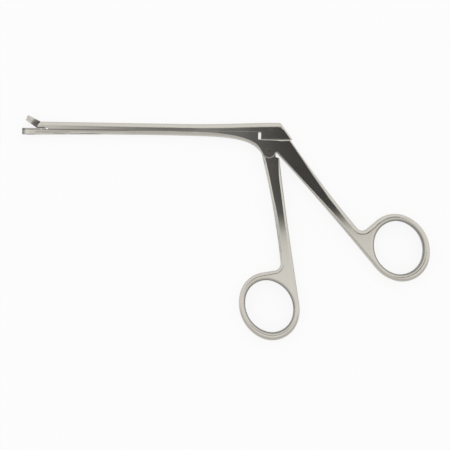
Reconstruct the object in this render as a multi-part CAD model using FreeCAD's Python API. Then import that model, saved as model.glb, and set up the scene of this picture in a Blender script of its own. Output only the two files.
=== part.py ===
import FreeCAD, Part
import math
import os

# Through-cut forceps, lying on its side. Millimetres.
# Everything is drawn about the handle screw: X runs back along the sliding line, Y up, Z across.
# At the end all pieces move together, so that the origin is the bottom centre of the whole.

V = FreeCAD.Vector

# Thickness across the instrument
body_thick = 5.6
shaft_wide = 4.4

# Shafts: heights over the handle screw, depths below and rises above the sliding line
slide_y = 9.42
rim_rise = 0.55
waist_depth = 2.22
tip_depth = 2.64
shaft_top = 3.65
tip_top = 3.9
block_top = 4.78
waist_x = -36.0
waist_slope = 0.8
widening_start = -48.0
widening_end = -10.0
underside_round = 1.85
upper_round = 1.9

# Drop block at the rear of the upper shaft, and the seat that it slides on
block_drop = 3.5
block_front_x = -4.0
block_top_x = 5.56
block_tip_x = 11.67
block_rise_start = -42.0
block_rise_end = 1.0
block_rise_ease = 21.5
block_rise_settle = 8.6
block_edge_round = 0.8
body_back_x = 10.42
body_corner_round = 0.9

# Hinge and drive
lobe_r = 3.5
screw_shank_r = 1.6
screw_thread_r = 1.3
screw_head_r = 2.5
screw_head_deep = 1.0
screw_slot_wide = 0.7
screw_slot_deep = 0.6
stroke = 1.4
drive_pin_y = 10.0
drive_pin_r = 1.0
tongue_thick = 2.4
tongue_half = 2.3
tongue_disc_r = 3.4
tongue_root = 2.0

# Body outline under the shaft: a round hollow beside the lobe, eased into the shaft
hollow_r = 14.65
hollow_turn = 211.5
hollow_end_turn = 50.0
hollow_round = 1.0
ease_from_shaft = 15.0
ease_from_hollow = 7.0

# Thumb handle and ring: half sizes of the opening, wall at its ends and sides, turns in degrees
thumb_ring_x = 65.45
thumb_ring_y = -47.33
thumb_open_long = 13.63
thumb_open_wide = 12.06
thumb_wall_end = 3.78
thumb_wall_side = 3.0
thumb_open_turn = 117.0
thumb_ring_turn = 120.0
thumb_outer_bow = 0.8
thumb_inner_bow_turn = 1.5
throat_turn = -1.3
throat_round = 0.6
notch_back = 18.55
notch_rise = 6.93
notch_round = 3.4
thumb_outer_round = 1.7

# Finger handle and ring
finger_ring_x = 1.28
finger_ring_y = -77.5
finger_open_long = 13.49
finger_open_wide = 11.6
finger_wall_end = 3.74
finger_wall_side = 3.27
finger_open_turn = 121.3
finger_ring_turn = 113.0
finger_left_x = -3.42
finger_left_y = -1.75
finger_left_bow = 1.1
finger_right_x = 5.2
finger_right_y = -3.5
finger_right_bow_turn = 1.0
web_side = 5.84
web_rise = 18.35
web_round = 3.6
finger_round = 1.1
ring_round = 1.35
edge_round = 0.35
inner_low_round = 0.9
round_grows = 12.0

# Jaws: places ahead of and above the jaw pin when closed
jaw_pin_x = -113.79
jaw_pin_drop = 0.14
jaw_pin_r = 0.45
link_rise = 2.253
jaw_reach = 9.82
nose_length = 3.87
lower_jaw_depth = 3.05
lower_jaw_wall = 0.75
front_wall = 0.3
punch_depth = 1.36
head_top = 2.94
head_front_top = 2.15
head_front_setback = 0.3
head_round = 0.5
arm_thick = 2.5
boss_r = 1.15
link_boss_r = 0.98
arm_shoulder_x = 3.35
arm_shoulder_y = 1.9
arm_root = 1.0
head_back_x = 3.8
slot_back_extra = 0.15

# Front end of the upper shaft, and the cheeks that it straddles
fork_ahead = 1.15
fork_lean = 18.75
fork_corner_round = 0.45
fork_gap = 0.55
cheek_back = 1.94
cheek_lean = 15.8
shoulder_ahead = 2.26
fork_back = 0.72

# Guide rails under the upper shaft: section, lengths, and places behind the jaw pin and along X
rail_neck = 1.2
rail_neck_deep = 0.5
rail_head = 2.1
rail_head_deep = 0.6
rail_root = 1.0
front_rail_back = 6.79
front_rail_long = 9.0
rear_rail_x = -29.0
rear_rail_long = 20.0

# Clearances
slide_gap = 0.04
side_gap = 0.05
pin_gap = 0.03
hinge_gap = 0.1
tongue_clear = 0.4
stop_gap = 0.03
blade_gap = 0.05
head_gap = 0.12
swing_gap = 0.2

# Worked out from the sizes above
half_body = body_thick / 2
half_shaft = shaft_wide / 2
half_tongue = tongue_thick / 2
half_arm = arm_thick / 2
seat_y = slide_y - block_drop
rim_y = slide_y + rim_rise
jaw_pin_y = slide_y - jaw_pin_drop
half_swing = math.atan(stroke / 2 / drive_pin_y)
half_jaw_swing = math.atan(stroke / 2 / link_rise)
fork_top_x = jaw_pin_x - fork_ahead
shoulder_x = jaw_pin_x - shoulder_ahead
front_rail_x = jaw_pin_x + front_rail_back
step_x = block_front_x - stroke - stop_gap

# Reach of cutting and trimming bodies, across the instrument and along it
high = 20.0
far = 200.0


# Plane geometry

def flat(x, y):
    return V(x, y, 0)


def heading(degrees):
    return V(math.cos(math.radians(degrees)), math.sin(math.radians(degrees)), 0)


def straight(start, end):
    return Part.LineSegment(start, end).toShape()


def bowed(start, end, bow):
    """Shallow arc that bows to the right of its chord."""
    chord = end - start
    right = V(chord.y, -chord.x, 0).normalize()
    return Part.Arc(start, (start + end) * 0.5 + right * bow, end).toShape()


def arc_into(start, end, arrival):
    """Arc from start that arrives at end along a direction."""
    left = V(-arrival.y, arrival.x, 0)
    chord = start - end
    lean = chord.dot(left)
    if abs(lean) < 1e-7 * chord.Length:
        return straight(start, end)
    radius = chord.dot(chord) / (2 * lean)
    centre = end + left * radius
    middle = (start + end) * 0.5 - centre
    return Part.Arc(start, centre + middle.normalize() * abs(radius), end).toShape()


def round_arc(centre, radius, from_turn, to_turn):
    """Arc about a centre from one turn to another, either way round."""
    middle_turn = (from_turn + to_turn) / 2
    points = [centre + heading(turn) * radius for turn in (from_turn, middle_turn, to_turn)]
    return Part.Arc(*points).toShape()


def eased(start, start_heading, reach, end, end_heading, end_reach):
    """Smooth curve between two points, leaving and arriving along given directions."""
    curve = Part.BezierCurve()
    curve.setPoles([start, start + start_heading * reach, end - end_heading * end_reach, end])
    return curve.toShape()


class Oval:
    """Oval of four tangent arcs in the side view. A place on it is given by the way it faces, in degrees."""

    def __init__(self, centre, half_long, half_wide, turn):
        corner = math.hypot(half_long, half_wide)
        spare = half_long - half_wide
        end_r = corner * (corner - spare) / (2 * half_long)
        side_r = corner * (corner + spare) / (2 * half_wide)
        self.join = math.degrees(math.atan2(side_r - half_wide, half_long - end_r))
        self.turn = turn
        ahead = heading(turn) * (half_long - end_r)
        aside = heading(turn + 90) * (half_wide - side_r)
        self.arcs = [(centre + ahead, end_r), (centre + aside, side_r), (centre - ahead, end_r),
                     (centre - aside, side_r)]

    def joins(self):
        """Where the arcs meet, from the start of the first arc and once round."""
        steps = (-self.join, self.join, 180 - self.join, 180 + self.join, 360 - self.join)
        return [self.turn + step for step in steps]

    def arc_at(self, facing):
        """Centre and radius of the arc that faces a given way."""
        joins = self.joins()
        past = joins[0] + (facing - joins[0]) % 360
        number = sum(past > join for join in joins[1:4])
        return self.arcs[number]

    def point(self, facing):
        centre, radius = self.arc_at(facing)
        return centre + heading(facing) * radius

    def touch(self, point, side, bow=0.0):
        """Where a line from a point touches the oval. A bow in degrees turns the line into a shallow arc."""
        for centre, radius in self.arcs:
            offset = point - centre
            facing = math.degrees(math.atan2(offset.y, offset.x) + side * math.acos(radius / offset.Length))
            if self.arc_at(facing) == (centre, radius):
                return facing + bow
        return None

    def run(self, start, end):
        """Arcs of the oval from one place to another, anticlockwise."""
        end = start + (end - start) % 360
        joins = sorted(start + (join - start) % 360 for join in self.joins()[:4])
        turns = [start] + [join for join in joins if join < end] + [end]
        arcs = []
        for near, past in zip(turns, turns[1:]):
            centre, radius = self.arc_at((near + past) / 2)
            arcs.append(round_arc(centre, radius, near, past))
        return arcs

    def whole(self):
        joins = self.joins()
        return [round_arc(centre, radius, near, past)
                for (centre, radius), near, past in zip(self.arcs, joins, joins[1:])]


# Solids

def slab(edges, low, top):
    """Solid from a closed outline in the side view, between two depths."""
    wire = Part.Wire(Part.__sortEdges__(edges))
    face = Part.Face(wire)
    face.translate(V(0, 0, low))
    return face.extrude(V(0, 0, top - low))


def plate(points, half):
    """Slab with straight sides, centred across the instrument."""
    corners = [flat(x, y) for x, y in points]
    edges = [straight(a, b) for a, b in zip(corners, corners[1:] + corners[:1])]
    return slab(edges, -half, half)


def block(x_from, x_to, y_from, y_to, half):
    return plate([(x_from, y_from), (x_to, y_from), (x_to, y_to), (x_from, y_to)], half)


def rod(x, y, radius, z_from, z_to):
    return Part.makeCylinder(radius, z_to - z_from, V(x, y, z_from))


def capsule(start, end, radius, half):
    """Plate with round ends about two points."""
    side = (end - start).normalize().cross(V(0, 0, 1)) * radius
    corners = [start + side, end + side, end - side, start - side]
    body = plate([(p.x, p.y) for p in corners], half)
    ends = [rod(p.x, p.y, radius, -half, half) for p in (start, end)]
    return body.fuse(ends).removeSplitter()


def prism_from_above(edges, y_from, y_to):
    """Solid from a closed outline in the top view, between two heights."""
    wire = Part.Wire(Part.__sortEdges__(edges))
    face = Part.Face(wire)
    face.translate(V(0, y_from, 0))
    return face.extrude(V(0, y_to - y_from, 0))


def mirrored(edges):
    return [edge.mirror(V(0, 0, 0), V(0, 0, 1)) for edge in edges]


def widths():
    """Top view of both shafts: parallel at the front, widening smoothly to the body."""
    front = V(-far, 0, half_shaft)
    start = V(widening_start, 0, half_shaft)
    end = V(widening_end, 0, half_body)
    back = V(far, 0, half_body)
    reach = (widening_end - widening_start) / 2
    ahead = V(1, 0, 0)
    side = [straight(front, start), eased(start, ahead, reach, end, ahead, reach), straight(end, back)]
    closing = [straight(V(x, 0, half), V(x, 0, -half)) for x, half in ((-far, half_shaft), (far, half_body))]
    return prism_from_above(side + mirrored(side) + closing, -far, far)


def nose(reach, half, length, back, y_from, y_to):
    """Straight-sided plan with an elliptic front; reach and back are ahead of the jaw pin."""
    centre = V(jaw_pin_x - reach + length, 0, 0)
    corner = V(centre.x, 0, half)
    rear = V(jaw_pin_x - back, 0, half)
    if length > half:
        oval = Part.Ellipse(centre + V(-length, 0, 0), centre + V(0, 0, half), centre)
        front = Part.ArcOfEllipse(oval, -math.pi / 2, math.pi / 2).toShape()
    else:
        oval = Part.Ellipse(centre + V(0, 0, half), centre + V(-length, 0, 0), centre)
        front = Part.ArcOfEllipse(oval, 0, math.pi).toShape()
    side = straight(corner, rear)
    edges = [front, side] + mirrored([side]) + [straight(rear, V(rear.x, 0, -half))]
    return prism_from_above(edges, y_from, y_to)


def even(curves, size):
    """Rules that round some outline curves by one size."""
    return [(curve, size, size) for curve in curves]


def growing(curve, start_round, end_round):
    """Rules that let the rounding of a curve grow over its first stretch, and then keep it."""
    first, last = curve.ParameterRange
    change = first + (last - first) * round_grows / curve.Length
    near = curve.Curve.toShape(first, change)
    rest = curve.Curve.toShape(change, last)
    return [(near, start_round, end_round), (rest, end_round, end_round)]


def share_along(curve, point):
    """How far along a curve a point lies, from 0 to 1."""
    first, last = curve.ParameterRange
    t = curve.Curve.parameter(flat(point.x, point.y))
    if t < first - 1e-6:
        t += 2 * math.pi
    return min(max((t - first) / (last - first), 0), 1)


def round_at(rules, point):
    """Rounding that the outline asks for at a point, or none."""
    spot = Part.Vertex(flat(point.x, point.y))
    for curve, start_round, end_round in rules:
        if spot.distToShape(curve)[0] < 0.003:
            return start_round + (end_round - start_round) * share_along(curve, point)
    return None


def rounded(solid, rules, above=1.0):
    """Round the long edges of a slab. A rule is an outline curve and the radius at its two ends."""
    work = FreeCAD.newDocument("rounding")
    base = work.addObject("Part::Feature", "base")
    base.Shape = solid
    rounds = []
    for number, edge in enumerate(solid.Edges, 1):
        ends = [vertex.Point for vertex in edge.Vertexes]
        radii = [round_at(rules, p) for p in ends]
        middle = edge.valueAt(sum(edge.ParameterRange) / 2)
        if None not in radii and min(abs(p.z) for p in ends + [middle]) > above:
            rounds.append((number, radii[0], radii[-1]))
    fillet = work.addObject("Part::Fillet", "rounds")
    fillet.Base = base
    fillet.Edges = rounds
    work.recompute()
    shape = fillet.Shape.copy()
    FreeCAD.closeDocument(work.Name)
    return shape


def corner_rounded(solid, corner, radius):
    """Round the upright edge that stands at a corner of the side view."""
    near = []
    for edge in solid.Edges:
        first, last = edge.ParameterRange
        ends = [edge.valueAt(first), edge.valueAt(last)]
        spread = max((flat(p.x, p.y) - corner).Length for p in ends)
        if spread < 0.01:
            near.append(edge)
    return solid.makeFillet(radius, near)


# Frame: lower shaft, body, thumb handle with ring, and lower jaw

def frame_outline():
    """Outline curves of the frame, each with the rounding at its two ends."""
    ring = Oval(flat(thumb_ring_x, thumb_ring_y), thumb_open_long + thumb_wall_end,
                thumb_open_wide + thumb_wall_side, thumb_ring_turn)
    notch = flat(thumb_ring_x - notch_back, thumb_ring_y + notch_rise)
    top_touch = ring.touch(notch, -1)
    throat = heading(throat_turn) * lobe_r
    low_touch = ring.touch(throat, 1, -thumb_inner_bow_turn)
    ring_arcs = ring.run(low_touch, top_touch)
    hollow_centre = heading(hollow_turn) * (lobe_r + hollow_r)
    hollow_start = hollow_turn - 180
    hollow_top = hollow_centre + heading(hollow_end_turn) * hollow_r
    waist = flat(waist_x, slide_y - waist_depth)
    shaft_heading = heading(-waist_slope)
    shoulder_low = flat(shoulder_x - (rim_rise + tip_depth) * math.tan(math.radians(cheek_lean)),
                        slide_y - tip_depth)
    cheek_x = jaw_pin_x + cheek_back
    corner = flat(body_back_x, seat_y)
    plain = [
        straight(flat(shoulder_x, rim_y), flat(cheek_x, rim_y)),
        straight(flat(cheek_x, rim_y), flat(cheek_x, slide_y)),
        straight(flat(cheek_x, slide_y), flat(step_x, slide_y)),
        straight(flat(step_x, slide_y), flat(step_x, seat_y)),
        straight(shoulder_low, flat(shoulder_x, rim_y)),
    ]
    ruled = [
        (straight(flat(step_x, seat_y), corner), edge_round, edge_round),
        (straight(notch, ring.point(top_touch)), thumb_outer_round, ring_round),
        (ring_arcs[0], inner_low_round, ring_round),
        (arc_into(throat, ring.point(low_touch), heading(low_touch + 90)), edge_round, inner_low_round),
        (round_arc(flat(0, 0), lobe_r, throat_turn, hollow_turn - 360), edge_round, edge_round),
        (round_arc(hollow_centre, hollow_r, hollow_start, hollow_end_turn), edge_round, hollow_round),
        (eased(waist, shaft_heading, ease_from_shaft, hollow_top, heading(hollow_end_turn - 90),
               ease_from_hollow), underside_round, hollow_round),
        (arc_into(shoulder_low, waist, shaft_heading), underside_round, underside_round),
    ]
    ruled += growing(bowed(corner, notch, thumb_outer_bow), edge_round, thumb_outer_round)
    ruled += even(ring_arcs[1:], ring_round)
    return plain, ruled, [(corner, body_corner_round), (notch, notch_round), (throat, throat_round)]


def frame_blank():
    plain, ruled, corners = frame_outline()
    opening = Oval(flat(thumb_ring_x, thumb_ring_y), thumb_open_long, thumb_open_wide, thumb_open_turn)
    solid = slab(plain + [rule[0] for rule in ruled], -high, high).common(widths())
    solid = solid.cut(slab(opening.whole(), -high, high))
    for corner, radius in corners:
        solid = corner_rounded(solid, corner, radius)
    return rounded(solid, ruled + even(opening.whole(), ring_round))


def guide_section(x_from, x_to, gap):
    """T-shaped rail, or its groove when a gap is added all round."""
    neck = block(x_from, x_to, slide_y - rail_neck_deep - high, slide_y + high, rail_neck / 2 + gap)
    top = slide_y - rail_neck_deep + gap
    head = block(x_from, x_to, top - rail_head_deep - 2 * gap, top, rail_head / 2 + gap)
    low = head.BoundBox.YMin
    return neck.cut(block(-far, far, low - far, low, high)).fuse(head).removeSplitter()


def lower_jaw():
    """Open frame with an elliptic front, ahead of the slanted shoulder of the shaft."""
    low = rim_y - lower_jaw_depth
    back_low = shoulder_x - lower_jaw_depth * math.tan(math.radians(cheek_lean))
    side = plate([(-far, low), (back_low, low), (shoulder_x, rim_y), (-far, rim_y)], high)
    return side.common(nose(jaw_reach, half_shaft, nose_length, 0, -far, far))


def window():
    """Opening of the lower jaw that the punch drops through, and the slot for the arm behind it."""
    reach = jaw_reach - front_wall
    half = half_shaft - lower_jaw_wall
    opening = nose(reach, half, nose_length - front_wall, head_back_x - 2 * blade_gap, -far, far)
    floor = jaw_pin_y - boss_r - swing_gap
    slot = block(jaw_pin_x - head_back_x, jaw_pin_x + boss_r + swing_gap + slot_back_extra, floor, high,
                 half_arm + side_gap)
    return opening.fuse(slot)


def handle_slot():
    """Slot through the lobe and body for the tongue, open below and at the seat."""
    half = half_tongue + side_gap
    side = tongue_disc_r + tongue_clear
    return block(-side, side, 0, high, half).fuse(rod(0, 0, side, -half, half))


def make_frame():
    blank = frame_blank().fuse(lower_jaw()).removeSplitter()
    groove_front = front_rail_x - stroke - swing_gap
    solid = blank.cut(guide_section(groove_front, far, side_gap).common(block(-far, step_x + 1, -far, far, high)))
    solid = solid.cut([window(), handle_slot()])
    solid = solid.cut(rod(jaw_pin_x, jaw_pin_y, jaw_pin_r, -high, high))
    bores = [rod(0, 0, screw_thread_r, -high, high), rod(0, 0, screw_shank_r, -high, half_tongue + side_gap),
             rod(0, 0, screw_head_r, -high, screw_head_deep - half_body)]
    return solid.cut(bores), blank


# Finger handle: ring and shank at full thickness, with a thin tongue that reaches into the drop block

def finger_blank():
    centre = flat(finger_ring_x, finger_ring_y)
    ring = Oval(centre, finger_open_long + finger_wall_end, finger_open_wide + finger_wall_side,
                finger_ring_turn)
    opening = Oval(centre, finger_open_long, finger_open_wide, finger_open_turn)
    web = centre + V(web_side, web_rise, 0)
    left = flat(finger_left_x, finger_left_y)
    right = flat(finger_right_x, finger_right_y)
    top = flat(0, finger_left_y)
    left_touch = ring.touch(web, 1)
    right_touch = ring.touch(right, -1, finger_right_bow_turn)
    rules = [
        (bowed(left, web, -finger_left_bow), finger_round, finger_round),
        (straight(web, ring.point(left_touch)), finger_round, ring_round),
    ]
    right_edge = arc_into(right, ring.point(right_touch), heading(right_touch - 90))
    rules += growing(right_edge, edge_round, ring_round)
    rules += even(ring.run(left_touch, right_touch), ring_round)
    plain = [straight(right, top), straight(top, left)]
    solid = slab(plain + [rule[0] for rule in rules], -half_body, half_body)
    solid = solid.cut(slab(opening.whole(), -high, high))
    solid = corner_rounded(solid, web, web_round)
    return rounded(solid, rules + even(opening.whole(), ring_round))


def drive_spot():
    """Centre of the drive pin at rest."""
    return flat(stroke / 2, drive_pin_y)


def tongue():
    """Thin plate in the middle: hinge disc, arm up to the drive pin and root inside the shank."""
    disc = rod(0, 0, tongue_disc_r, -half_tongue, half_tongue)
    arm = capsule(flat(0, 0), drive_spot(), tongue_half, half_tongue)
    root = block(-tongue_half, tongue_disc_r, finger_right_y - tongue_root, 0, half_tongue)
    return disc.fuse([arm, root]).removeSplitter()


def slot_along(centre, direction, radius, play, half):
    """Slot with round ends along a direction."""
    return capsule(centre - direction * play, centre + direction * play, radius, half)


def make_finger_handle():
    solid = finger_blank().cut(rod(0, 0, lobe_r + hinge_gap, -high, high)).fuse(tongue()).removeSplitter()
    spot = drive_spot()
    rise = V(spot.x, spot.y, 0).normalize()
    play = (spot.Length - drive_pin_y) / 2
    middle = rise * (drive_pin_y + play)
    slot = slot_along(middle, rise, drive_pin_r + pin_gap, play + side_gap, high)
    return solid.cut([slot, rod(0, 0, screw_shank_r + pin_gap, -high, high)])


def make_handle_screw():
    head = rod(0, 0, screw_head_r, -half_body, screw_head_deep - half_body)
    shank = rod(0, 0, screw_shank_r, screw_head_deep - half_body, half_tongue + side_gap)
    thread = rod(0, 0, screw_thread_r, half_tongue + side_gap, half_body)
    screw = head.fuse([shank, thread]).removeSplitter()
    slot = Part.makeBox(2 * high, screw_slot_wide, screw_slot_deep, V(-high, -screw_slot_wide / 2, -half_body))
    return screw.cut(slot)


# Upper shaft: slides on the frame, forked in front and with the drop block behind

def upper_blank():
    under = slide_y + slide_gap
    front_top = flat(fork_top_x, slide_y + tip_top)
    fork_low = rim_y + fork_gap
    fork_bottom = flat(fork_top_x - (front_top.y - fork_low) * math.tan(math.radians(fork_lean)), fork_low)
    notch_x = jaw_pin_x + cheek_back + stroke + side_gap
    rise_start = flat(block_rise_start, slide_y + shaft_top)
    rise_end = flat(block_rise_end, slide_y + block_top)
    block_back = flat(block_top_x, slide_y + block_top)
    level = V(1, 0, 0)
    top_heading = (rise_start - front_top).normalize()
    top = [straight(front_top, rise_start),
           eased(rise_start, top_heading, block_rise_ease, rise_end, level, block_rise_settle),
           straight(rise_end, block_back)]
    points = [block_back, flat(block_tip_x, seat_y + slide_gap), flat(block_front_x, seat_y + slide_gap),
              flat(block_front_x, under), flat(notch_x, under), flat(notch_x, fork_low), fork_bottom,
              front_top]
    rest = [straight(a, b) for a, b in zip(points, points[1:])]
    solid = slab(top + rest, -high, high).common(widths())
    solid = rounded(solid, [(edge, upper_round, upper_round) for edge in top])
    return solid, front_top, block_back


def face_at(solid, point, normal):
    """The flat face that passes through a point and looks along a normal."""
    for face in solid.Faces:
        away = face.normalAt(0, 0)
        if face.Surface.TypeId == "Part::GeomPlane" and abs(away.dot(normal)) > 0.999:
            if abs((face.CenterOfMass - point).dot(away)) < 0.01:
                return face
    return None


def link_spot():
    """Centre of the link pin at rest."""
    return flat(jaw_pin_x + stroke / 2, jaw_pin_y + link_rise)


def make_upper_shaft():
    blank, front_top, block_back = upper_blank()
    slant = (flat(block_tip_x, seat_y + slide_gap) - block_back).normalize()
    back = face_at(blank, block_back, V(slant.y, -slant.x, 0))
    ends = [edge for edge in back.Edges if edge.CenterOfMass.y > seat_y + block_edge_round]
    blank = blank.makeFillet(block_edge_round, ends)
    lean = math.radians(fork_lean)
    front = face_at(blank, front_top, V(math.cos(lean), -math.sin(lean), 0))
    lip = [edge for edge in front.Edges if edge.CenterOfMass.y > rim_y + fork_gap + fork_corner_round]
    blank = blank.makeFillet(fork_corner_round, lip)
    rails = [guide_section(front_rail_x, front_rail_x + front_rail_long, 0),
             guide_section(rear_rail_x, rear_rail_x + rear_rail_long, 0)]
    keep = block(-far, far, -far, slide_y + rail_root, high)
    solid = blank.fuse([rail.common(keep) for rail in rails]).removeSplitter()
    spot = drive_spot()
    slack = tongue_half + (drive_pin_y - seat_y) * math.tan(half_swing) + swing_gap
    pocket = block(spot.x - slack, spot.x + slack, -high, drive_pin_y + tongue_half + swing_gap,
                   half_tongue + side_gap)
    link = link_spot()
    reach = math.hypot(stroke / 2, link_rise)
    fork = block(-far, link.x + link_boss_r + fork_back, -high, jaw_pin_y + reach + link_boss_r + swing_gap,
                 half_arm + side_gap)
    solid = solid.cut([pocket.common(block(-far, far, seat_y - 1, far, high)), fork])
    solid = solid.cut([rod(spot.x, spot.y, drive_pin_r, -high, high),
                       rod(link.x, link.y, jaw_pin_r, -high, high)])
    return solid, blank


def flush_pin(x, y, radius, blank):
    """Pin ground flush with the outside of the piece that holds it."""
    return rod(x, y, radius, -high, high).common(blank)


# Upper jaw: wide head, punch below it, and an arm with the tail that the link pin swings

def closed_point(x, y):
    """Place given from the jaw pin, with the jaw closed."""
    return jaw_pin_x + x, jaw_pin_y + y


def upper_jaw_closed():
    bottom = rim_y + slide_gap - jaw_pin_y
    fork_x = fork_top_x - stroke - head_gap - jaw_pin_x
    lean = math.tan(math.radians(fork_lean))
    fork_y = slide_y + tip_top - jaw_pin_y
    back_low = fork_x - (fork_y - bottom) * lean
    back_top = fork_x - (fork_y - head_top) * lean
    head = plate([closed_point(back_low, bottom), closed_point(back_top, head_top),
                  closed_point(-jaw_reach + head_front_setback, head_front_top),
                  closed_point(-jaw_reach, bottom)], high)
    head = head.common(nose(jaw_reach, half_shaft, nose_length, 0, -far, far))
    middle = closed_point(back_top, (bottom + head_front_top) / 2)
    top_edges = [edge for edge in head.Edges
                 if min(v.Y for v in edge.Vertexes) > middle[1]
                 and min(v.X for v in edge.Vertexes) < middle[0] - head_round]
    head = head.makeFillet(head_round, top_edges)
    low = rim_y - punch_depth - jaw_pin_y
    half = half_shaft - lower_jaw_wall - blade_gap
    swept = jaw_reach - front_wall - blade_gap
    punch_reach = math.sqrt(swept ** 2 - low ** 2)
    punch = nose(punch_reach, half, nose_length - jaw_reach + punch_reach,
                 head_back_x, jaw_pin_y + low, jaw_pin_y + bottom)
    link = flat(-math.sin(half_jaw_swing), math.cos(half_jaw_swing))
    reach = (math.hypot(stroke / 2, link_rise) + link_rise) / 2
    play = reach - link_rise
    pivot = flat(jaw_pin_x, jaw_pin_y)
    tail = capsule(pivot, pivot + link * reach, link_boss_r, half_arm)
    boss = rod(jaw_pin_x, jaw_pin_y, boss_r, -half_arm, half_arm)
    root_x = -head_back_x - arm_root
    tail_end = link * link_rise
    arm = plate([closed_point(root_x, low), closed_point(root_x, arm_shoulder_y),
                 closed_point(-arm_shoulder_x, arm_shoulder_y), closed_point(tail_end.x, tail_end.y),
                 closed_point(0, 0), closed_point(0, -boss_r), closed_point(-boss_r, -boss_r),
                 closed_point(-2 * boss_r, low)], half_arm)
    solid = head.fuse([punch, tail, boss, arm]).removeSplitter()
    slot = slot_along(pivot + link * reach, link, jaw_pin_r + pin_gap, play + side_gap, high)
    return solid.cut([slot, rod(jaw_pin_x, jaw_pin_y, jaw_pin_r + pin_gap, -high, high)])


def make_upper_jaw():
    solid = upper_jaw_closed()
    solid.rotate(flat(jaw_pin_x, jaw_pin_y), V(0, 0, 1), -2 * math.degrees(half_jaw_swing))
    return solid


def make_all():
    frame, frame_outside = make_frame()
    upper_shaft, upper_outside = make_upper_shaft()
    spot = drive_spot()
    link = link_spot()
    pieces = {
        "frame": frame,
        "upper_shaft": upper_shaft,
        "finger_handle": make_finger_handle(),
        "handle_screw": make_handle_screw(),
        "drive_pin": flush_pin(spot.x, spot.y, drive_pin_r, upper_outside),
        "upper_jaw": make_upper_jaw(),
        "jaw_pin": flush_pin(jaw_pin_x, jaw_pin_y, jaw_pin_r, frame_outside),
        "link_pin": flush_pin(link.x, link.y, jaw_pin_r, upper_outside),
    }
    return pieces


def placed(pieces):
    """Move all pieces together, so that the origin is the bottom centre of the whole."""
    bounds = FreeCAD.BoundBox()
    for piece in pieces.values():
        bounds.add(piece.optimalBoundingBox(False))
    shift = V(-bounds.Center.x, -bounds.Center.y, -bounds.ZMin)
    for piece in pieces.values():
        piece.translate(shift)
    return shift


if __name__ == "__main__":
    os.makedirs("parts", exist_ok=True)
    pieces = make_all()
    shift = placed(pieces)
    print("handle screw at", [round(value, 4) for value in shift])
    for name, piece in pieces.items():
        piece.exportStep("parts/" + name + ".step")
        print(name, "solids", len(piece.Solids), "valid", piece.isValid(), "volume", round(piece.Volume, 2))
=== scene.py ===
import math

import bpy
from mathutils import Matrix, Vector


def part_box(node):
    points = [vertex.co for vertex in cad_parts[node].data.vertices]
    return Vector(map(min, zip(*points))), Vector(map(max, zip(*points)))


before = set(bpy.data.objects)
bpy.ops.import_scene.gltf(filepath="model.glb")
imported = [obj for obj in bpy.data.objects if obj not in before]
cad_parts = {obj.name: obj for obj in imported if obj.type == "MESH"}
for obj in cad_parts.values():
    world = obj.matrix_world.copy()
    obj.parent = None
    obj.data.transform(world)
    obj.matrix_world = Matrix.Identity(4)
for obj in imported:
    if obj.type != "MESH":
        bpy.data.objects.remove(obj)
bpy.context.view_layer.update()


# Frame: lower shaft, body, thumb handle with its ring, and the lower jaw, in one piece.
# Surgical stainless steel, forged and milled, then satin polished: the flats are lapped nearly
# to a mirror along the piece, and the rounded edges and rings are buffed softer than the flats.

millimetre = 0.001


def linear(hex_code):
    """Linear colour of an sRGB hex value."""
    parts = [int(hex_code[i:i + 2], 16) / 255 for i in (1, 3, 5)]
    return [c / 12.92 if c <= 0.04045 else ((c + 0.055) / 1.055) ** 2.4 for c in parts] + [1.0]


def add_node(tree, kind, settings=None, links=None):
    """Add a node, set its properties and sockets, and link outputs of other nodes to its inputs."""
    node = tree.nodes.new(kind)
    for name, value in (settings or {}).items():
        if isinstance(name, str) and hasattr(node, name):
            setattr(node, name, value)
        else:
            node.inputs[name].default_value = value
    for name, output in (links or {}).items():
        tree.links.new(output, node.inputs[name])
    return node


def masked(tree, place, value, masks):
    """A value times each mask. A mask is a function that adds its nodes and returns their output."""
    for mask in masks:
        part = add_node(tree, "ShaderNodeMath", {"operation": "MULTIPLY"}, {0: value, 1: mask(tree, place)})
        value = part.outputs[0]
    return value


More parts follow.
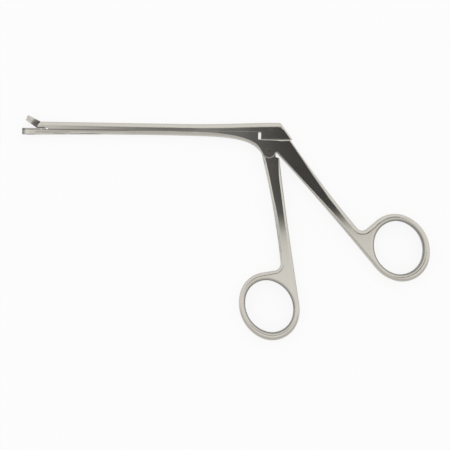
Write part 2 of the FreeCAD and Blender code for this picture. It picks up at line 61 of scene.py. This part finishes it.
def steel(name, tone, turn, flat_roughness=0.055, buffed_roughness=0.2, edge_width=0.9, crisp=(), darker=()):
    """Satin polished steel of two tones, lapped along a turn in degrees. Lengths are in millimetres.

    The wheel rolls the flats over towards their edges, over the edge width. Crisp masks leave only
    a share of that width, and darker masks lower the tone.
    """
    material = bpy.data.materials.new(name)
    material.use_nodes = True
    tree = material.node_tree
    tree.nodes.clear()
    place = add_node(tree, "ShaderNodeTexCoord")

    # Lapping lines: real ones are about 0.02 mm wide, drawn as coarse as they need to show.
    streak_wide = 0.3 * millimetre
    streak_long = 14.0 * millimetre
    along = add_node(tree, "ShaderNodeMapping",
                     {"vector_type": "TEXTURE", "Rotation": (0, 0, math.radians(turn)),
                      "Scale": (streak_long, streak_wide, streak_wide)},
                     {"Vector": place.outputs["Object"]})
    streaks = add_node(tree, "ShaderNodeTexNoise", {"Scale": 1.0, "Detail": 4.0, "Roughness": 0.65},
                       {"Vector": along.outputs["Vector"]})

    # Uneven polish and handling marks.
    mark_wide = 11.0 * millimetre
    marks = add_node(tree, "ShaderNodeTexNoise", {"Scale": 1 / mark_wide, "Detail": 3.0, "Roughness": 0.55},
                     {"Vector": place.outputs["Object"]})

    # Corners are broken by hand, and polish over them is softer than on the flats.
    corner = add_node(tree, "ShaderNodeBevel", {"samples": 8, "Radius": edge_width * millimetre})
    if crisp:
        share = masked(tree, place, crisp[0](tree, place), crisp[1:])
        width = add_node(tree, "ShaderNodeMath", {"operation": "MULTIPLY", 1: edge_width * millimetre},
                         {0: share})
        tree.links.new(width.outputs[0], corner.inputs["Radius"])
    facing = add_node(tree, "ShaderNodeSeparateXYZ", links={"Vector": corner.outputs["Normal"]})
    level = add_node(tree, "ShaderNodeMath", {"operation": "ABSOLUTE"}, {0: facing.outputs["Z"]})
    round_level, flat_level = 0.97, 0.999
    buffing = add_node(tree, "ShaderNodeMapRange",
                       {"From Min": round_level, "From Max": flat_level, "To Min": buffed_roughness,
                        "To Max": flat_roughness}, {"Value": level.outputs[0]})
    uneven = add_node(tree, "ShaderNodeMapRange",
                      {"From Min": 0.3, "From Max": 0.7, "To Min": 0.85, "To Max": 1.2},
                      {"Value": marks.outputs["Fac"]})
    rough = add_node(tree, "ShaderNodeMath", {"operation": "MULTIPLY"},
                     {0: buffing.outputs["Result"], 1: uneven.outputs["Result"]})
    groove_deep = 0.003 * millimetre
    grooves = add_node(tree, "ShaderNodeBump", {"Strength": 0.2, "Distance": groove_deep},
                       {"Height": streaks.outputs["Fac"], "Normal": corner.outputs["Normal"]})

    # Painted shade: the colour is darkened where ambient occlusion finds seams and corners close by.
    shade_reach = 0.5 * millimetre
    painted_shade_tone = 0.35
    seam = add_node(tree, "ShaderNodeAmbientOcclusion", {"samples": 4, "Distance": shade_reach})
    shade = add_node(tree, "ShaderNodeMapRange",
                     {"From Min": 0.25, "From Max": 0.8, "To Min": painted_shade_tone, "To Max": 1.0},
                     {"Value": seam.outputs["AO"]})
    tint = add_node(tree, "ShaderNodeMix", {"data_type": "RGBA"}, {0: streaks.outputs["Fac"]})
    low_tone, high_tone = [socket for socket in tint.inputs if socket.type == "RGBA"]
    low_tone.default_value, high_tone.default_value = (linear(code) for code in tone)
    toned = [socket for socket in tint.outputs if socket.type == "RGBA"][0]
    dark = masked(tree, place, shade.outputs["Result"], darker)
    colour = add_node(tree, "ShaderNodeVectorMath", {"operation": "SCALE"}, {0: toned, "Scale": dark})
    surface = add_node(tree, "ShaderNodeBsdfPrincipled", {"Metallic": 1.0},
                       {"Base Color": colour.outputs["Vector"], "Roughness": rough.outputs[0],
                        "Normal": grooves.outputs["Normal"]})
    add_node(tree, "ShaderNodeOutputMaterial", links={"Surface": surface.outputs["BSDF"]})
    return material


def finish_with(node, material):
    """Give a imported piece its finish."""
    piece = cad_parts[node]
    piece.data.materials.clear()
    piece.data.materials.append(material)


def near_pin(pin, near, far, share):
    """Mask that is a share up to a near distance from a pin's axis, and 1 from a far one on."""
    low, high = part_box(pin)
    centre = ((low[0] + high[0]) / 2, (low[1] + high[1]) / 2, 0)

    def mask(tree, place):
        plan = add_node(tree, "ShaderNodeVectorMath", {"operation": "MULTIPLY", 1: (1, 1, 0)},
                        {0: place.outputs["Object"]})
        away = add_node(tree, "ShaderNodeVectorMath", {"operation": "DISTANCE", 1: centre},
                        {0: plan.outputs["Vector"]})
        grown = add_node(tree, "ShaderNodeMapRange",
                         {"interpolation_type": "SMOOTHSTEP", "From Min": near * millimetre,
                          "From Max": far * millimetre, "To Min": share, "To Max": 1.0},
                         {"Value": away.outputs["Value"]})
        return grown.outputs["Result"]
    return mask


def sharp_seam(sharp_at, soft_at):
    """Mask that keeps the edges along the sliding seam sharp, between two heights of Y."""
    def mask(tree, place):
        spot = add_node(tree, "ShaderNodeSeparateXYZ", links={"Vector": place.outputs["Object"]})
        grown = add_node(tree, "ShaderNodeMapRange",
                         {"From Min": sharp_at * millimetre, "From Max": soft_at * millimetre,
                          "To Min": 0.1, "To Max": 1.0}, {"Value": spot.outputs["Y"]})
        return grown.outputs["Result"]
    return mask


def sharp_throat(tree, place):
    """Edges on the throat's side of the thumb handle, the body's too, are sharp up to near the ring."""
    throat_x, throat_y, edge_turn = 25.33, 39.74, -48.85
    soft_from, soft_to = 20.0, 45.0
    side_from, side_to = 2.5, 4.0
    edge = add_node(tree, "ShaderNodeMapping",
                    {"vector_type": "TEXTURE", "Location": (throat_x * millimetre, throat_y * millimetre, 0),
                     "Rotation": (0, 0, math.radians(edge_turn)),
                     "Scale": (millimetre, millimetre, millimetre)},
                    {"Vector": place.outputs["Object"]})
    spot = add_node(tree, "ShaderNodeSeparateXYZ", links={"Vector": edge.outputs["Vector"]})
    down = add_node(tree, "ShaderNodeMapRange",
                    {"From Min": soft_from, "From Max": soft_to, "To Min": 0.12, "To Max": 1.0},
                    {"Value": spot.outputs["X"]})
    across = add_node(tree, "ShaderNodeMapRange",
                      {"From Min": side_from, "From Max": side_to, "To Min": 0.0, "To Max": 1.0},
                      {"Value": spot.outputs["Y"]})
    most = add_node(tree, "ShaderNodeMath", {"operation": "MAXIMUM"},
                    {0: down.outputs["Result"], 1: across.outputs["Result"]})
    return most.outputs[0]


def painted_seam_shade(tree, place):
    """Painted shade: a dark line along the sliding seam, strongest in front, for the shade in the gap and
    the dark that its edges mirror.
    """
    seam_y, core_half, shade_half = 48.42, 0.08, 0.42
    darkest_x, faded_x, strongest = -62.0, -34.0, 0.6
    spot = add_node(tree, "ShaderNodeSeparateXYZ", links={"Vector": place.outputs["Object"]})
    off = add_node(tree, "ShaderNodeMath", {"operation": "SUBTRACT", 1: seam_y * millimetre},
                   {0: spot.outputs["Y"]})
    away = add_node(tree, "ShaderNodeMath", {"operation": "ABSOLUTE"}, {0: off.outputs[0]})
    shade_line = add_node(tree, "ShaderNodeMapRange",
                    {"interpolation_type": "SMOOTHSTEP", "From Min": core_half * millimetre,
                     "From Max": shade_half * millimetre, "To Min": 1.0, "To Max": 0.0},
                    {"Value": away.outputs[0]})
    front = add_node(tree, "ShaderNodeMapRange",
                     {"interpolation_type": "SMOOTHSTEP", "From Min": darkest_x * millimetre,
                      "From Max": faded_x * millimetre, "To Min": strongest, "To Max": 0.0},
                     {"Value": spot.outputs["X"]})
    taken = add_node(tree, "ShaderNodeMath", {"operation": "MULTIPLY"},
                     {0: shade_line.outputs["Result"], 1: front.outputs["Result"]})
    kept = add_node(tree, "ShaderNodeMath", {"operation": "SUBTRACT", 0: 1.0}, {1: taken.outputs[0]})
    return kept.outputs[0]


def shaded_opening(centre, half_sizes, turn):
    """Painted shade: a darker line about 1 mm wide on the wall of a ring opening, for the shaded floor it
    mirrors.
    """
    painted_wall_tone = 0.45

    def mask(tree, place):
        plan = add_node(tree, "ShaderNodeVectorMath", {"operation": "MULTIPLY", 1: (1, 1, 0)},
                        {0: place.outputs["Object"]})
        ellipse = add_node(tree, "ShaderNodeMapping",
                           {"vector_type": "TEXTURE", "Location": [c * millimetre for c in centre] + [0],
                            "Rotation": (0, 0, math.radians(turn)),
                            "Scale": [half * millimetre for half in half_sizes] + [1]},
                           {"Vector": plan.outputs["Vector"]})
        out = add_node(tree, "ShaderNodeVectorMath", {"operation": "LENGTH"},
                       {0: ellipse.outputs["Vector"]})
        wall_shading = add_node(tree, "ShaderNodeMapRange",
                         {"From Min": 1.01, "From Max": 1.08, "To Min": painted_wall_tone, "To Max": 1.0},
                         {"Value": out.outputs["Value"]})
        return wall_shading.outputs["Result"]
    return mask


def darker_nose(tree, place):
    """The front end of the lower jaw is ground square, and its colour is darker over its last millimetre."""
    nose_from, nose_to, nose_tone = -101.2, -100.2, 0.45
    spot = add_node(tree, "ShaderNodeSeparateXYZ", links={"Vector": place.outputs["Object"]})
    nose = add_node(tree, "ShaderNodeMapRange",
                    {"From Min": nose_from * millimetre, "From Max": nose_to * millimetre,
                     "To Min": nose_tone, "To Max": 1.0}, {"Value": spot.outputs["X"]})
    return nose.outputs["Result"]


forged_tones = ("#C4C0B7", "#D8D4CB")
# Along its sliding seam the colour carries a painted shade.
# The wall of the thumb ring opening carries a painted shade.
finish_with("frame", steel(
    "satin_steel_frame", forged_tones, 0.0,
    crisp=(near_pin("handle_screw", 4.4, 5.2, 0.12), near_pin("jaw_pin", 12.0, 12.8, 0.15), sharp_throat,
           sharp_seam(47.9, 47.3)),
    darker=(painted_seam_shade, shaded_opening((86.71, -8.28), (13.63, 12.06), 117.0), darker_nose)))


# Handle screw: slotted screw of the same steel, turned, and ground flush with the body.
# Its head is on the underside, and its threaded end lies flush in the lobe and hardly shows.

finish_with("handle_screw", steel("ground_steel_screw", ("#BCB8B0", "#CFCBC2"), 30.0, edge_width=0.03))


# Finger handle: ring and shank of forged steel, with the same satin finish as the frame. It turns
# on the handle screw. Its edges are sharp near the screw and rolled over towards the ring.

# The wall of its ring opening carries a painted shade.
finish_with("finger_handle", steel(
    "satin_steel_finger_handle", forged_tones, -82.0,
    crisp=(near_pin("handle_screw", 14.0, 38.0, 0.12),),
    darker=(shaded_opening((22.54, -38.45), (13.49, 11.6), 121.3),)))


# Upper shaft: a milled bar of the same steel that slides on the frame, forked in front, with the
# drop block behind. It is sharp along the seam, at both pins and on the fork, and softer on top.

# Along its sliding seam the colour carries a painted shade.
finish_with("upper_shaft", steel(
    "satin_steel_upper_shaft", forged_tones, 0.0, edge_width=1.4,
    crisp=(near_pin("drive_pin", 1.3, 2.1, 0.03), near_pin("link_pin", 12.0, 45.0, 0.1),
           sharp_seam(49.3, 50.3)),
    darker=(painted_seam_shade,)))


# Drive pin and link pin: hardened pins pressed into the upper shaft. They are ground flush with
# it, and only a shade darker, so that they hardly show.

hard_tones = ("#BEBAB1", "#D0CCC3")
for pin in ("drive_pin", "link_pin"):
    finish_with(pin, steel("ground_steel_" + pin, hard_tones, 15.0, edge_width=0.03))


# Jaw pin: the same kind of hardened pin, pressed into the cheeks of the frame and ground flush.
# The upper jaw turns on it.

finish_with("jaw_pin", steel("ground_steel_jaw_pin", hard_tones, 15.0, edge_width=0.03))


# Upper jaw: small hardened punch with a ground cutting edge, swung by the link pin. Its heel is
# ground across, near the jaw pin its colour carries a painted shade, and its tip is polished,
# duller than the flats of the frame.

finish_with("upper_jaw", steel(
    "satin_steel_jaw", hard_tones, -34.0, flat_roughness=0.12, edge_width=0.15,
    darker=(near_pin("jaw_pin", 4.8, 7.0, 0.3),)))


# Floor: a plain white table that the forceps lies on, covered with matt paper. The paper is
# matt white, and mostly seen at its plain colour, so that only a faint shadow stays on it.

bpy.ops.object.select_all(action="DESELECT")
bpy.ops.mesh.primitive_plane_add(size=4.0, location=(0, 0, 0))
floor = bpy.context.object
floor.name = "table_top"
paper = bpy.data.materials.new("white_paper")
paper.use_nodes = True
tree = paper.node_tree
tree.nodes.clear()
matt = add_node(tree, "ShaderNodeBsdfDiffuse", {"Color": linear("#FBFBFB")})
glow = add_node(tree, "ShaderNodeEmission", {"Color": linear("#FFFFFF"), "Strength": 1.0})
seen = add_node(tree, "ShaderNodeLightPath")
plain_to_camera = 0.86
plain_in_steel = 0.3
seen_plainly = add_node(tree, "ShaderNodeMath", {"operation": "MULTIPLY", 1: plain_to_camera},
                        {0: seen.outputs["Is Camera Ray"]})
seen_in_steel = add_node(tree, "ShaderNodeMath", {"operation": "MULTIPLY", 1: plain_in_steel},
                         {0: seen.outputs["Is Glossy Ray"]})
share = add_node(tree, "ShaderNodeMath", {"operation": "ADD"},
                 {0: seen_plainly.outputs[0], 1: seen_in_steel.outputs[0]})
lit = add_node(tree, "ShaderNodeMixShader",
               links={0: share.outputs[0], 1: matt.outputs[0], 2: glow.outputs[0]})
add_node(tree, "ShaderNodeOutputMaterial", links={"Surface": lit.outputs[0]})
floor.data.materials.append(paper)


# Light: a white tent all round. Overhead hangs a card that goes from light grey at the jaws
# to near black behind the handle screw, and the flats of the steel mirror it.

world = bpy.data.worlds.new("white_tent")
bpy.context.scene.world = world
world.use_nodes = True
tree = world.node_tree
tree.nodes.clear()
toward = add_node(tree, "ShaderNodeTexCoord")
axes = add_node(tree, "ShaderNodeSeparateXYZ", links={"Vector": toward.outputs["Generated"]})

# The card hangs turned a little against the table. Near the horizon its slope is held down.
card_turn = -7.5
lowest = 0.2
turned = add_node(tree, "ShaderNodeMapping", {"Rotation": (0, 0, math.radians(card_turn))},
                  {"Vector": toward.outputs["Generated"]})
card_axes = add_node(tree, "ShaderNodeSeparateXYZ", links={"Vector": turned.outputs["Vector"]})
above = add_node(tree, "ShaderNodeMath", {"operation": "MAXIMUM", 1: lowest}, {0: axes.outputs["Z"]})
slope_x = add_node(tree, "ShaderNodeMath", {"operation": "DIVIDE"},
                   {0: card_axes.outputs["X"], 1: above.outputs[0]})
slope_y = add_node(tree, "ShaderNodeMath", {"operation": "DIVIDE"},
                   {0: card_axes.outputs["Y"], 1: above.outputs[0]})

# Shades of the card along X, and how much of it counts along Y, each at a place in millimetres
# on the table as the flats mirror it to the camera.
camera_height = 600.0
ramp_half = 120.0
card_shade = [(-98, 1.0), (-76, 0.72), (-56, 0.52), (-40, 0.33), (-24, 0.25), (6, 0.22), (18, 0.17),
              (30, 0.1), (40, 0.075), (110, 0.075), (118, 1.0)]
card_cover = [(-32, 0.0), (-22, 0.04), (-12, 0.1), (-7, 0.25), (-1.5, 1.0), (94, 1.0), (104, 0.0)]
ramps = []
for slope, stops in ((slope_x, card_shade), (slope_y, card_cover)):
    across = add_node(tree, "ShaderNodeMapRange",
                      {"From Min": -ramp_half / camera_height, "From Max": ramp_half / camera_height},
                      {"Value": slope.outputs[0]})
    ramp = add_node(tree, "ShaderNodeValToRGB", links={"Fac": across.outputs["Result"]})
    while len(ramp.color_ramp.elements) < len(stops):
        ramp.color_ramp.elements.new(0.5)
    for element, (spot, shade) in zip(ramp.color_ramp.elements, stops):
        element.position = (spot + ramp_half) / (2 * ramp_half)
        element.color = (shade, shade, shade, 1.0)
    ramps.append(ramp)

# The front wall of the tent gets less light than the others.
front_wall = 0.68
front_y, middle_y = -0.3, -0.06
wall = add_node(tree, "ShaderNodeMapRange",
                {"interpolation_type": "SMOOTHSTEP", "From Min": front_y, "From Max": middle_y,
                 "To Min": front_wall, "To Max": 1.0}, {"Value": axes.outputs["Y"]})
tent = add_node(tree, "ShaderNodeMix", {"data_type": "RGBA"}, {0: ramps[1].outputs["Color"]})
walls, card = [socket for socket in tent.inputs if socket.type == "RGBA"]
tree.links.new(wall.outputs["Result"], walls)
tree.links.new(ramps[0].outputs["Color"], card)
mixed = [socket for socket in tent.outputs if socket.type == "RGBA"][0]
sky = add_node(tree, "ShaderNodeBackground", {"Strength": 1.0}, {"Color": mixed})
add_node(tree, "ShaderNodeOutputWorld", links={"Surface": sky.outputs[0]})


# Camera: straight above the table, turned a little, as in the photograph.

view_width = 225.0
seen_x, seen_y, seen_z = -0.15, 1.88, 3.5
camera_turn = 0.79
lens = bpy.data.cameras.new("camera")
lens.sensor_width = 36.0
lens.lens = lens.sensor_width * camera_height / view_width
lens.clip_start = 0.01
lens.clip_end = 10.0
camera = bpy.data.objects.new("camera", lens)
bpy.context.scene.collection.objects.link(camera)
camera.location = (seen_x * millimetre, seen_y * millimetre, (camera_height + seen_z) * millimetre)
camera.rotation_euler = (0, 0, math.radians(camera_turn))
bpy.context.scene.camera = camera
bpy.context.scene.view_settings.view_transform = "Standard"
